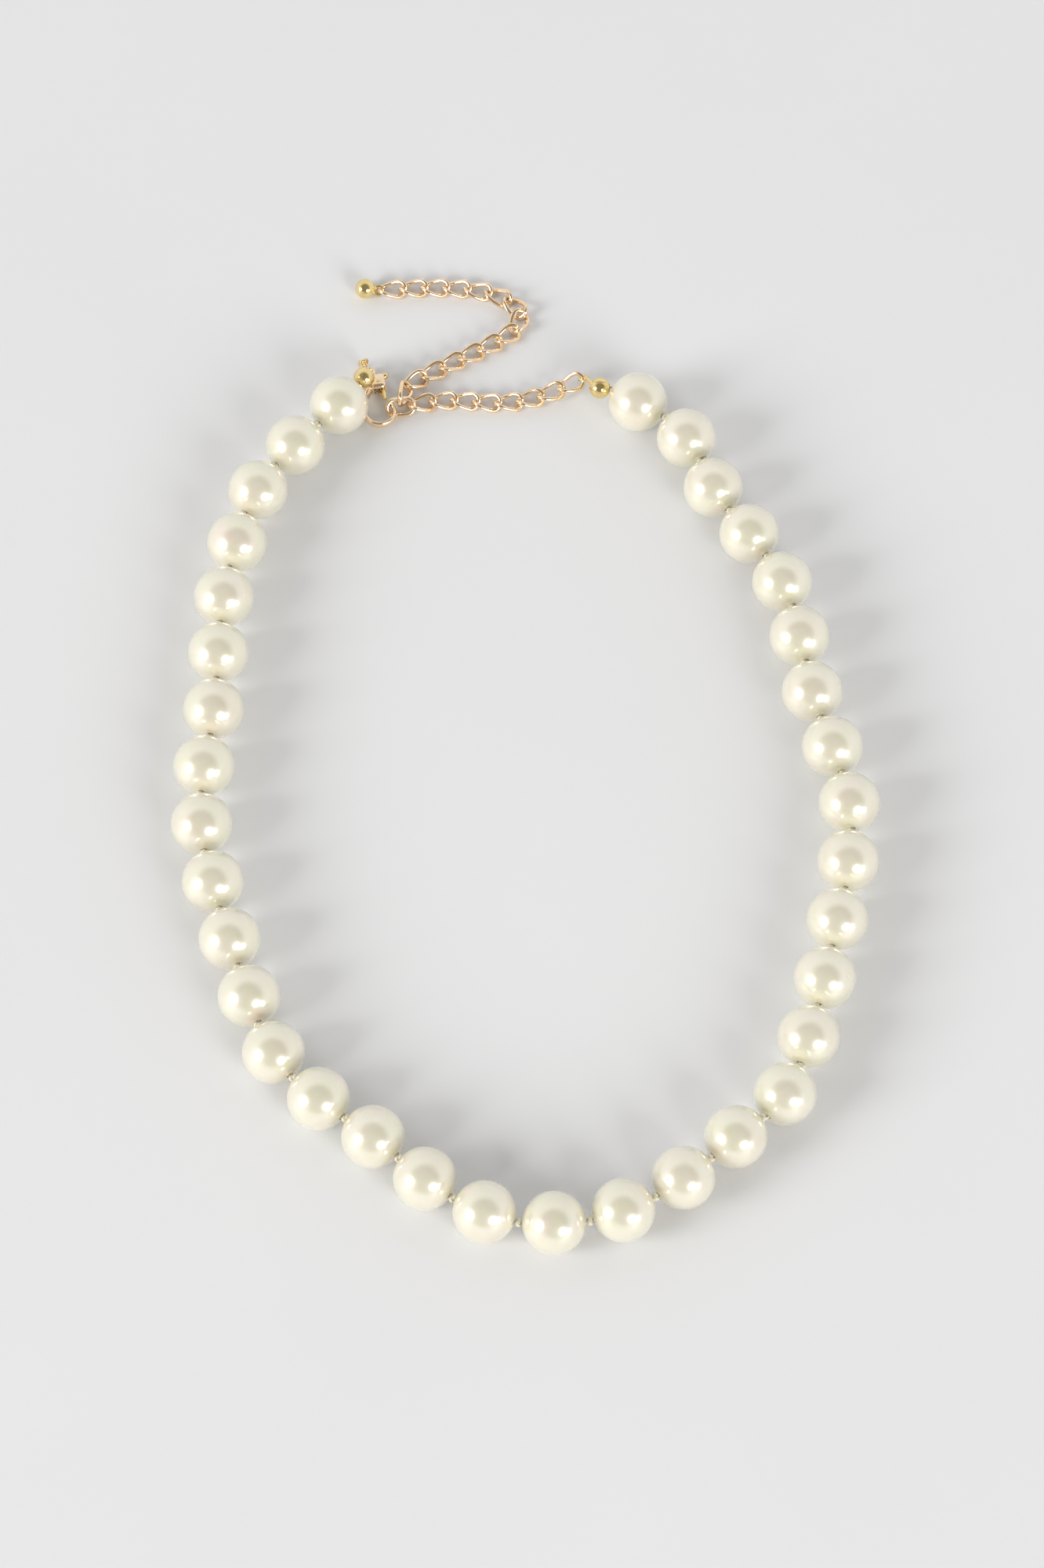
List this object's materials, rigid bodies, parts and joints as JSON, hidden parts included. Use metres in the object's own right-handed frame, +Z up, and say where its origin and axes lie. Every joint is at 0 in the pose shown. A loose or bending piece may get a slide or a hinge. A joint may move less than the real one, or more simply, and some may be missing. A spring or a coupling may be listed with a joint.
{
  "type": "pearl necklace",
  "caption": "Knotted strand of round pearls with bead tips, a lobster clasp and an extender chain that ends in a ball.",
  "frame": {"origin": "on the surface that the necklace lies on, under the middle of its bounding box", "axes": "+Z up from that surface, +Y along the loop from its front pearl to the clasp, +X across the loop"},
  "size_m": [0.1142, 0.1872, 0.01],
  "materials": {
    "pearl": "glossy ivory nacre lacquer over a round bead",
    "rose_gold": "polished rose-gold plating",
    "yellow_gold": "polished yellow-gold plating",
    "silk": "twisted ivory silk beading thread, knotted",
    "spring_steel": "bright spring wire"
  },
  "bodies": {
    "clasp": {"clasp_body": "rose_gold", "clasp_pin": "rose_gold", "clasp_spring": "spring_steel", "silk_thread": "silk"},
    "chain_link_09": {"chain_link_09": "rose_gold"},
    "chain_link_07_08": {"chain_link_07_08": "rose_gold"},
    "chain_link_05_06": {"chain_link_05_06": "rose_gold"},
    "chain_link_03_04": {"chain_link_03_04": "rose_gold"},
    "chain_link_01_02": {"chain_link_01_02": "rose_gold"},
    "bead_tip_right": {"bead_tip_right": "yellow_gold"},
    "pearl_35": {"pearl_35": "pearl"},
    "pearl_34": {"pearl_34": "pearl"},
    "pearl_33": {"pearl_33": "pearl"},
    "pearl_32": {"pearl_32": "pearl"},
    "pearl_31": {"pearl_31": "pearl"},
    "pearl_30": {"pearl_30": "pearl"},
    "pearl_29": {"pearl_29": "pearl"},
    "pearl_28": {"pearl_28": "pearl"},
    "pearl_27": {"pearl_27": "pearl"},
    "pearl_26": {"pearl_26": "pearl"},
    "pearl_25": {"pearl_25": "pearl"},
    "pearl_24": {"pearl_24": "pearl"},
    "pearl_23": {"pearl_23": "pearl"},
    "pearl_22": {"pearl_22": "pearl"},
    "pearl_21": {"pearl_21": "pearl"},
    "pearl_20": {"pearl_20": "pearl"},
    "pearl_19": {"pearl_19": "pearl"},
    "pearl_18": {"pearl_18": "pearl"},
    "chain_link_10_11": {"chain_link_10_11": "rose_gold"},
    "chain_link_12_13": {"chain_link_12_13": "rose_gold"},
    "chain_link_14_15": {"chain_link_14_15": "rose_gold"},
    "chain_link_16": {"chain_link_16": "rose_gold"},
    "chain_link_17": {"chain_link_17": "rose_gold"},
    "chain_link_18": {"chain_link_18": "rose_gold"},
    "chain_link_19": {"chain_link_19": "rose_gold"},
    "chain_link_20": {"chain_link_20": "rose_gold"},
    "chain_link_21": {"chain_link_21": "rose_gold"},
    "chain_link_22_23": {"chain_link_22_23": "rose_gold"},
    "chain_link_24": {"chain_link_24": "rose_gold"},
    "end_ball": {"end_ball": "yellow_gold"},
    "clasp_lever": {"clasp_lever": "rose_gold"},
    "jump_ring": {"jump_ring": "rose_gold"},
    "bead_tip_left": {"bead_tip_left": "yellow_gold"},
    "pearl_01": {"pearl_01": "pearl"},
    "pearl_02": {"pearl_02": "pearl"},
    "pearl_03": {"pearl_03": "pearl"},
    "pearl_04": {"pearl_04": "pearl"},
    "pearl_05": {"pearl_05": "pearl"},
    "pearl_06": {"pearl_06": "pearl"},
    "pearl_07": {"pearl_07": "pearl"},
    "pearl_08": {"pearl_08": "pearl"},
    "pearl_09": {"pearl_09": "pearl"},
    "pearl_10": {"pearl_10": "pearl"},
    "pearl_11": {"pearl_11": "pearl"},
    "pearl_12": {"pearl_12": "pearl"},
    "pearl_13": {"pearl_13": "pearl"},
    "pearl_14": {"pearl_14": "pearl"},
    "pearl_15": {"pearl_15": "pearl"},
    "pearl_16": {"pearl_16": "pearl"},
    "pearl_17": {"pearl_17": "pearl"}
  },
  "joints": [
    {"name": "chain_joint_09", "type": "hinge", "parent": "clasp", "child": "chain_link_09", "pos_m": [-0.02234, 0.06675, 0.0013], "axis": [0, 0, 1], "range_deg": [0, 12]},
    {"name": "chain_joint_07_08", "type": "hinge", "parent": "chain_link_09", "child": "chain_link_07_08", "pos_m": [-0.0193, 0.06718, 0.0013], "axis": [0, 0, 1], "range_deg": [0, 20]},
    {"name": "chain_joint_05_06", "type": "hinge", "parent": "chain_link_07_08", "child": "chain_link_05_06", "pos_m": [-0.01207, 0.06851, 0.00105], "axis": [-0.0799, -0.9968, 0], "range_deg": [-40, 40]},
    {"name": "chain_joint_03_04", "type": "hinge", "parent": "chain_link_05_06", "child": "chain_link_03_04", "pos_m": [-0.00469, 0.06792, 0.00105], "axis": [0, 0, 1], "range_deg": [0, 30]},
    {"name": "chain_joint_01_02", "type": "hinge", "parent": "chain_link_03_04", "child": "chain_link_01_02", "pos_m": [0.00259, 0.0691, 0.00126], "axis": [0.3561, -0.9344, 0], "range_deg": [-40, 40]},
    {"name": "bead_tip_right_swing", "type": "hinge", "parent": "chain_link_01_02", "child": "bead_tip_right", "pos_m": [0.00976, 0.07184, 0.00287], "axis": [0, 0, 1], "range_deg": [0, 30]},
    {"name": "knot_at_pearl_35", "type": "hinge", "parent": "bead_tip_right", "child": "pearl_35", "pos_m": [0.01486, 0.06831, 0.005], "axis": [0, 0, 1], "range_deg": [0, 35]},
    {"name": "knot_at_pearl_34", "type": "hinge", "parent": "pearl_35", "child": "pearl_34", "pos_m": [0.02354, 0.06233, 0.005], "axis": [-0.8147, -0.5799, 0], "range_deg": [-40, 40]},
    {"name": "knot_at_pearl_33", "type": "hinge", "parent": "pearl_34", "child": "pearl_33", "pos_m": [0.02942, 0.05323, 0.005], "axis": [0, 0, 1], "range_deg": [0, 35]},
    {"name": "knot_at_pearl_32", "type": "hinge", "parent": "pearl_33", "child": "pearl_32", "pos_m": [0.03411, 0.04339, 0.005], "axis": [0.8623, 0.5063, 0], "range_deg": [-40, 40]},
    {"name": "knot_at_pearl_31", "type": "hinge", "parent": "pearl_32", "child": "pearl_31", "pos_m": [0.04009, 0.03422, 0.005], "axis": [0, 0, 1], "range_deg": [0, 35]},
    {"name": "knot_at_pearl_30", "type": "hinge", "parent": "pearl_31", "child": "pearl_30", "pos_m": [0.04403, 0.02409, 0.005], "axis": [0.9795, 0.2012, 0], "range_deg": [-40, 40]},
    {"name": "knot_at_pearl_29", "type": "hinge", "parent": "pearl_30", "child": "pearl_29", "pos_m": [0.04577, 0.01329, 0.005], "axis": [0, 0, 1], "range_deg": [0, 35]},
    {"name": "knot_at_pearl_28", "type": "hinge", "parent": "pearl_29", "child": "pearl_28", "pos_m": [0.04815, 0.00267, 0.005], "axis": [-0.9687, -0.2482, 0], "range_deg": [-40, 40]},
    {"name": "knot_at_pearl_27", "type": "hinge", "parent": "pearl_28", "child": "pearl_27", "pos_m": [0.05132, -0.0078, 0.005], "axis": [0, 0, 1], "range_deg": [0, 35]},
    {"name": "knot_at_pearl_26", "type": "hinge", "parent": "pearl_27", "child": "pearl_26", "pos_m": [0.05238, -0.01864, 0.005], "axis": [-0.9932, 0.1168, 0], "range_deg": [-40, 40]},
    {"name": "knot_at_pearl_25", "type": "hinge", "parent": "pearl_26", "child": "pearl_25", "pos_m": [0.05081, -0.02946, 0.005], "axis": [0, 0, 1], "range_deg": [0, 35]},
    {"name": "knot_at_pearl_24", "type": "hinge", "parent": "pearl_25", "child": "pearl_24", "pos_m": [0.04853, -0.04013, 0.005], "axis": [0.9717, -0.2363, 0], "range_deg": [-40, 40]},
    {"name": "knot_at_pearl_23", "type": "hinge", "parent": "pearl_24", "child": "pearl_23", "pos_m": [0.04605, -0.05075, 0.005], "axis": [0, 0, 1], "range_deg": [0, 35]},
    {"name": "knot_at_pearl_22", "type": "hinge", "parent": "pearl_23", "child": "pearl_22", "pos_m": [0.04307, -0.06133, 0.005], "axis": [0.8316, -0.5554, 0], "range_deg": [-40, 40]},
    {"name": "knot_at_pearl_21", "type": "hinge", "parent": "pearl_22", "child": "pearl_21", "pos_m": [0.03701, -0.07028, 0.005], "axis": [0, 0, 1], "range_deg": [0, 35]},
    {"name": "knot_at_pearl_20", "type": "hinge", "parent": "pearl_21", "child": "pearl_20", "pos_m": [0.02868, -0.07745, 0.005], "axis": [-0.5862, 0.8101, 0], "range_deg": [-40, 40]},
    {"name": "knot_at_pearl_19", "type": "hinge", "parent": "pearl_20", "child": "pearl_19", "pos_m": [0.02001, -0.08416, 0.005], "axis": [0, 0, 1], "range_deg": [-30, 35]},
    {"name": "knot_at_pearl_18", "type": "hinge", "parent": "pearl_19", "child": "pearl_18", "pos_m": [0.00985, -0.08835, 0.005], "axis": [-0.0145, 0.9999, 0], "range_deg": [-40, 40]},
    {"name": "chain_joint_10_11", "type": "hinge", "parent": "chain_link_09", "child": "chain_link_10_11", "pos_m": [-0.02121, 0.0675, 0.00236], "axis": [0, 0, 1], "range_deg": [-10, 8]},
    {"name": "chain_joint_12_13", "type": "hinge", "parent": "chain_link_10_11", "child": "chain_link_12_13", "pos_m": [-0.01729, 0.07333, 0.00104], "axis": [-0.5019, 0.8649, 0], "range_deg": [-40, 40]},
    {"name": "chain_joint_14_15", "type": "hinge", "parent": "chain_link_12_13", "child": "chain_link_14_15", "pos_m": [-0.01089, 0.07705, 0.00105], "axis": [0, 0, 1], "range_deg": [-25, 25]},
    {"name": "chain_joint_16", "type": "hinge", "parent": "chain_link_14_15", "child": "chain_link_16", "pos_m": [-0.00453, 0.08084, 0.00105], "axis": [-0.5928, 0.8054, 0], "range_deg": [-30, 30]},
    {"name": "chain_joint_17", "type": "hinge", "parent": "chain_link_16", "child": "chain_link_17", "pos_m": [-0.00155, 0.08303, 0.00105], "axis": [0, 0, 1], "range_deg": [-25, 20]},
    {"name": "chain_joint_18", "type": "hinge", "parent": "chain_link_17", "child": "chain_link_18", "pos_m": [-0.00057, 0.0866, 0.00105], "axis": [-0.7573, -0.6531, 0], "range_deg": [-20, 20]},
    {"name": "chain_joint_19", "type": "hinge", "parent": "chain_link_18", "child": "chain_link_19", "pos_m": [-0.00298, 0.0894, 0.00105], "axis": [0, 0, 1], "range_deg": [-25, 25]},
    {"name": "chain_joint_20", "type": "hinge", "parent": "chain_link_19", "child": "chain_link_20", "pos_m": [-0.00634, 0.09096, 0.00105], "axis": [-0.1994, -0.9799, 0], "range_deg": [-40, 40]},
    {"name": "chain_joint_21", "type": "hinge", "parent": "chain_link_20", "child": "chain_link_21", "pos_m": [-0.00997, 0.0917, 0.00105], "axis": [0, 0, 1], "range_deg": [-25, 25]},
    {"name": "chain_joint_22_23", "type": "hinge", "parent": "chain_link_21", "child": "chain_link_22_23", "pos_m": [-0.01366, 0.09192, 0.00105], "axis": [0.025, -0.9997, 0], "range_deg": [-40, 40]},
    {"name": "chain_joint_24", "type": "hinge", "parent": "chain_link_22_23", "child": "chain_link_24", "pos_m": [-0.02105, 0.09174, 0.00105], "axis": [0, 0, 1], "range_deg": [-25, 25]},
    {"name": "end_ball_swing", "type": "hinge", "parent": "chain_link_24", "child": "end_ball", "pos_m": [-0.0252, 0.09149, 0.00105], "axis": [0, 0, 1], "range_deg": [-40, 40]},
    {"name": "clasp_lever_press", "type": "hinge", "parent": "clasp", "child": "clasp_lever", "pos_m": [-0.02494, 0.0715, 0.0013], "axis": [0, 0, -1], "range_deg": [0, 25], "deforming": ["clasp_spring"]},
    {"name": "jump_ring_swing", "type": "hinge", "parent": "clasp", "child": "jump_ring", "pos_m": [-0.02665, 0.07401, 0.0013], "axis": [0, 0, -1], "range_deg": [0, 30]},
    {"name": "bead_tip_left_swing", "type": "hinge", "parent": "jump_ring", "child": "bead_tip_left", "pos_m": [-0.02745, 0.07492, 0.00285], "axis": [0, 0, -1], "range_deg": [0, 30]},
    {"name": "knot_at_pearl_01", "type": "hinge", "parent": "bead_tip_left", "child": "pearl_01", "pos_m": [-0.02824, 0.06861, 0.005], "axis": [0, 0, -1], "range_deg": [0, 25], "deforming": ["silk_thread"]},
    {"name": "knot_at_pearl_02", "type": "hinge", "parent": "pearl_01", "child": "pearl_02", "pos_m": [-0.03508, 0.06072, 0.005], "axis": [0.7928, -0.6095, 0], "range_deg": [-40, 40]},
    {"name": "knot_at_pearl_03", "type": "hinge", "parent": "pearl_02", "child": "pearl_03", "pos_m": [-0.0421, 0.05232, 0.005], "axis": [0, 0, -1], "range_deg": [0, 35]},
    {"name": "knot_at_pearl_04", "type": "hinge", "parent": "pearl_03", "child": "pearl_04", "pos_m": [-0.04676, 0.04247, 0.005], "axis": [-0.9721, 0.2345, 0], "range_deg": [-40, 40]},
    {"name": "knot_at_pearl_05", "type": "hinge", "parent": "pearl_04", "child": "pearl_05", "pos_m": [-0.04913, 0.03178, 0.005], "axis": [0, 0, -1], "range_deg": [0, 35]},
    {"name": "knot_at_pearl_06", "type": "hinge", "parent": "pearl_05", "child": "pearl_06", "pos_m": [-0.05023, 0.02093, 0.005], "axis": [-0.9988, 0.0485, 0], "range_deg": [-40, 40]},
    {"name": "knot_at_pearl_07", "type": "hinge", "parent": "pearl_06", "child": "pearl_07", "pos_m": [-0.05052, 0.01002, 0.005], "axis": [0, 0, -1], "range_deg": [0, 35]},
    {"name": "knot_at_pearl_08", "type": "hinge", "parent": "pearl_07", "child": "pearl_08", "pos_m": [-0.0515, -0.00083, 0.005], "axis": [0.9982, -0.06, 0], "range_deg": [-40, 40]},
    {"name": "knot_at_pearl_09", "type": "hinge", "parent": "pearl_08", "child": "pearl_09", "pos_m": [-0.0525, -0.0117, 0.005], "axis": [0, 0, -1], "range_deg": [0, 35]},
    {"name": "knot_at_pearl_10", "type": "hinge", "parent": "pearl_09", "child": "pearl_10", "pos_m": [-0.05142, -0.02255, 0.005], "axis": [0.9724, 0.2333, 0], "range_deg": [-40, 40]},
    {"name": "knot_at_pearl_11", "type": "hinge", "parent": "pearl_10", "child": "pearl_11", "pos_m": [-0.04867, -0.03312, 0.005], "axis": [0, 0, -1], "range_deg": [0, 35]},
    {"name": "knot_at_pearl_12", "type": "hinge", "parent": "pearl_11", "child": "pearl_12", "pos_m": [-0.04552, -0.04356, 0.005], "axis": [-0.9395, -0.3426, 0], "range_deg": [-40, 40]},
    {"name": "knot_at_pearl_13", "type": "hinge", "parent": "pearl_12", "child": "pearl_13", "pos_m": [-0.04212, -0.05397, 0.005], "axis": [0, 0, -1], "range_deg": [0, 35]},
    {"name": "knot_at_pearl_14", "type": "hinge", "parent": "pearl_13", "child": "pearl_14", "pos_m": [-0.03647, -0.06328, 0.005], "axis": [-0.6849, -0.7286, 0], "range_deg": [-40, 40]},
    {"name": "knot_at_pearl_15", "type": "hinge", "parent": "pearl_14", "child": "pearl_15", "pos_m": [-0.02816, -0.07042, 0.005], "axis": [0, 0, -1], "range_deg": [-30, 35]},
    {"name": "knot_at_pearl_16", "type": "hinge", "parent": "pearl_15", "child": "pearl_16", "pos_m": [-0.01978, -0.07738, 0.005], "axis": [0.6004, 0.7997, 0], "range_deg": [-40, 40]},
    {"name": "knot_at_pearl_17", "type": "hinge", "parent": "pearl_16", "child": "pearl_17", "pos_m": [-0.01135, -0.08441, 0.005], "axis": [0, 0, -1], "range_deg": [-30, 35]}
  ]
}
